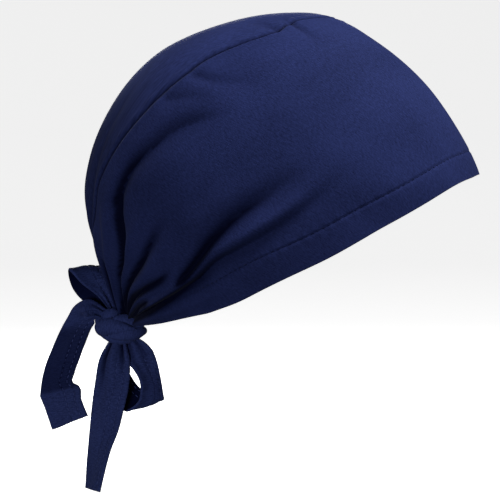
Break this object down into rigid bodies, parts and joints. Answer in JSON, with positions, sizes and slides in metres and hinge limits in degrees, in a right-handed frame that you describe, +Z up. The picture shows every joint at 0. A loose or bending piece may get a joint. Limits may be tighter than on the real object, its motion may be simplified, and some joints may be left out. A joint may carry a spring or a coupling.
{
  "type": "scrub cap",
  "caption": "Navy tie-back scrub cap in its worn form, with a smooth front, an oval crown panel and gathers drawn into a bow at the nape.",
  "frame": {"origin": "inside of the top of the crown, where the cap rests on the head", "axes": "+Z up, face towards -Y, the wearer's right side towards -X and left side towards +X"},
  "size_m": [0.161, 0.2558, 0.2769],
  "materials": {
    "navy_cloth": "matte woven cotton blend"
  },
  "bodies": {
    "root": {"side_panel": "navy_cloth", "crown_panel": "navy_cloth", "knot": "navy_cloth", "loop_rear": "navy_cloth", "loop_front": "navy_cloth", "tail_rear": "navy_cloth", "tail_lower": "navy_cloth"}
  },
  "joints": []
}
